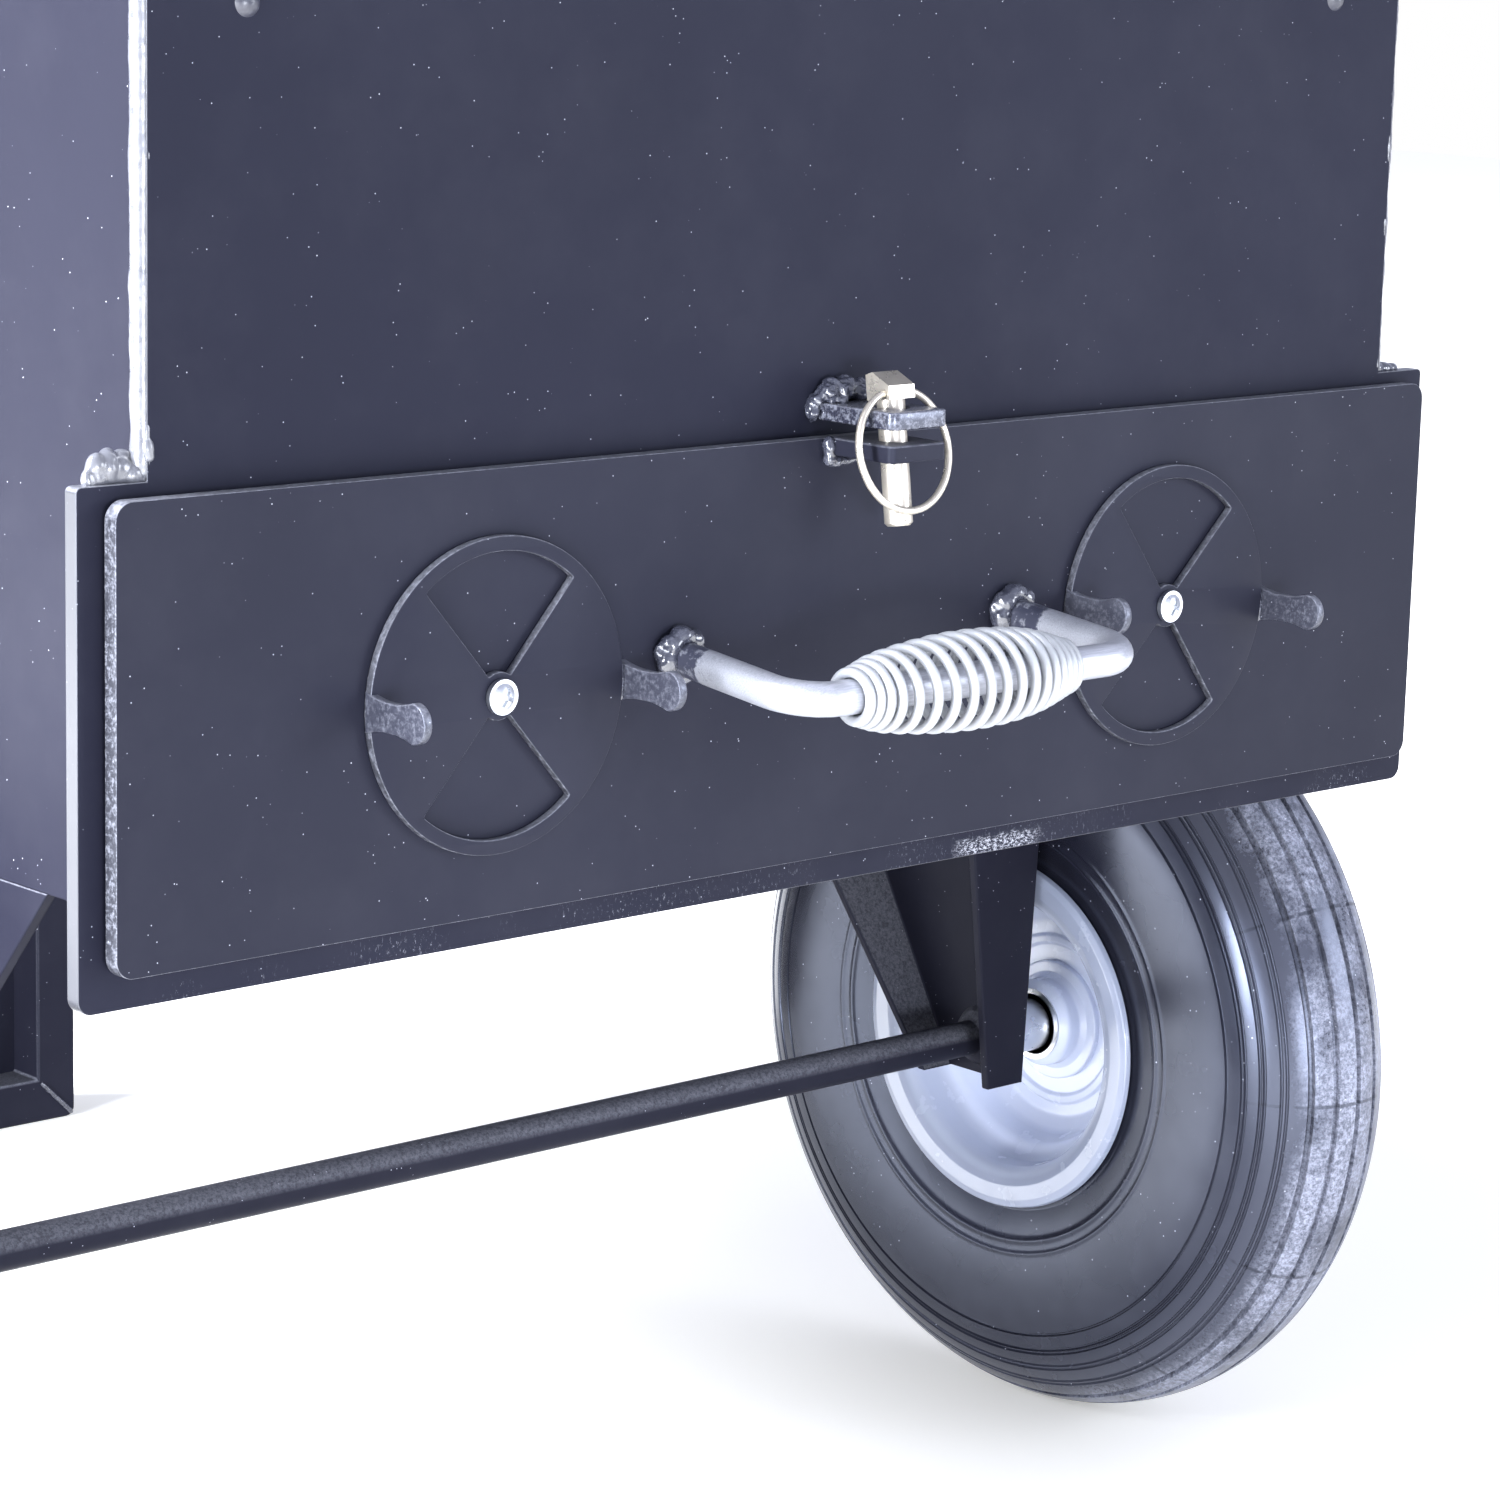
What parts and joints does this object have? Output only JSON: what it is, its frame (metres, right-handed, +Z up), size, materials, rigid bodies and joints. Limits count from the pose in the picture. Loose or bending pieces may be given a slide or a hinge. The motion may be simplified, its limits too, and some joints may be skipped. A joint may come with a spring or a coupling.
{
  "type": "wheeled charcoal cooker base",
  "caption": "Welded black steel cooker box on pneumatic wheels and a far leg frame, with a pull-out charcoal drawer, turning air dampers, coil grip handle and linch pin latch.",
  "frame": {"origin": "on the ground, on the box's centre line, straight below the front face of the drawer end panel", "axes": "+X to the right seen from the drawer end, +Y back along the box away from the drawer end, +Z up"},
  "size_m": [0.6376, 0.7677, 0.5245],
  "materials": {
    "black_powder": "satin powder coat",
    "drawer_black": "satin powder coat",
    "weld_bead": "glossy over rough bead",
    "raw_sheet": "raw sheet",
    "bare_rod": "bare steel rod, black at the roots",
    "bright_wire": "bright wire",
    "zinc_hardware": "zinc plated",
    "dark_bolt": "dark plated",
    "latch_zinc": "yellow zinc, worn",
    "rim_paint": "gloss",
    "tyre_rubber": "matte with dust",
    "tube_rubber": "matte"
  },
  "bodies": {
    "base": {"end_panel": "black_powder", "side_left": "black_powder", "side_right": "black_powder", "far_panel": "black_powder", "box_floor": "black_powder", "corner_welds": "weld_bead", "rail_front": "black_powder", "rail_far": "black_powder", "rail_bolts": "dark_bolt", "rail_nuts": "zinc_hardware", "runner_left": "black_powder", "runner_right": "black_powder", "upper_lug": "black_powder", "bracket_right": "black_powder", "bracket_left": "black_powder", "axle": "black_powder", "axle_welds": "black_powder", "axle_spacers": "zinc_hardware", "axle_washers": "zinc_hardware", "cotter_pins": "zinc_hardware", "leg_frame": "black_powder", "leg_panel": "black_powder"},
    "drawer": {"drawer_front": "drawer_black", "drawer_tray": "raw_sheet", "grate_ledges": "raw_sheet", "charcoal_grate": "raw_sheet", "handle_bar": "bare_rod", "handle_welds": "weld_bead", "spring_grip": "bright_wire", "lower_lug": "drawer_black", "stop_tabs": "drawer_black", "pivot_screws": "zinc_hardware", "pivot_washers": "zinc_hardware", "pivot_nuts": "zinc_hardware"},
    "damper_left": {"damper_left": "drawer_black"},
    "damper_right": {"damper_right": "drawer_black"},
    "latch_pin": {"latch_pin": "latch_zinc"},
    "pin_ring": {"pin_ring": "latch_zinc"},
    "wheel_left": {"tyre_left": "tyre_rubber", "tube_left": "tube_rubber", "rim_inner_left": "rim_paint", "rim_outer_left": "rim_paint", "hub_left": "rim_paint", "bearings_left": "zinc_hardware", "valve_left": "tube_rubber"},
    "wheel_right": {"tyre_right": "tyre_rubber", "tube_right": "tube_rubber", "rim_inner_right": "rim_paint", "rim_outer_right": "rim_paint", "hub_right": "rim_paint", "bearings_right": "zinc_hardware", "valve_right": "tube_rubber"}
  },
  "joints": [
    {"name": "drawer_slide", "type": "slide", "parent": "base", "child": "drawer", "axis": [0, -1, 0], "range_m": [0, 0.45]},
    {"name": "damper_left_turn", "type": "hinge", "parent": "drawer", "child": "damper_left", "pos_m": [-0.1263, -0.0083, 0.319], "axis": [0, 1, 0], "range_deg": [0, 90]},
    {"name": "damper_right_turn", "type": "hinge", "parent": "drawer", "child": "damper_right", "pos_m": [0.1263, -0.0083, 0.319], "axis": [0, 1, 0], "range_deg": [0, 85]},
    {"name": "pin_lift", "type": "slide", "parent": "drawer", "child": "latch_pin", "axis": [0, 0.1392, 0.9903], "range_m": [0, 0.008]},
    {"name": "ring_swing", "type": "hinge", "parent": "latch_pin", "child": "pin_ring", "pos_m": [0, -0.02246, 0.39101], "axis": [-1, 0, 0], "range_deg": [0, 150]},
    {"name": "wheel_left_spin", "type": "hinge", "parent": "base", "child": "wheel_left", "pos_m": [-0.2763, 0.1585, 0.136], "axis": [1, 0, 0], "continuous": true},
    {"name": "wheel_right_spin", "type": "hinge", "parent": "base", "child": "wheel_right", "pos_m": [0.2653, 0.1585, 0.136], "axis": [1, 0, 0], "continuous": true}
  ]
}
